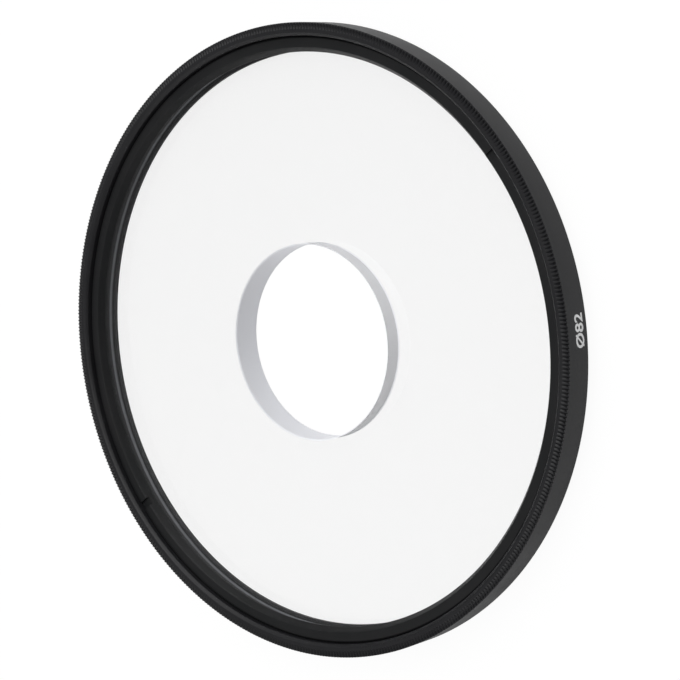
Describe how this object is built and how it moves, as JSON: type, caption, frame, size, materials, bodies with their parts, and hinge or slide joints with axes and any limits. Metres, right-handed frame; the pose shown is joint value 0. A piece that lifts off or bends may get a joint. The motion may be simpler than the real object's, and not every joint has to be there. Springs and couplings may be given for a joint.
{
  "type": "center spot camera filter",
  "caption": "Screw-in camera filter: a knurled black ring with a rear thread, holding a thick clear glass disc with a round hole through its middle.",
  "frame": {"origin": "on the optical axis, at the rear end of the mounting thread, which the filter lies on", "axes": "+Z along the optical axis, towards the front of the filter; the two spanner slots lie on the X axis"},
  "size_m": [0.085, 0.085, 0.0067],
  "materials": {
    "anodised_ring": "satin black anodised",
    "anodised_retainer": "matt black anodised",
    "optical_glass": "polished faces, ground hole wall"
  },
  "bodies": {
    "root": {"filter_ring": "anodised_ring", "center_glass": "optical_glass", "retaining_ring": "anodised_retainer"}
  },
  "joints": []
}
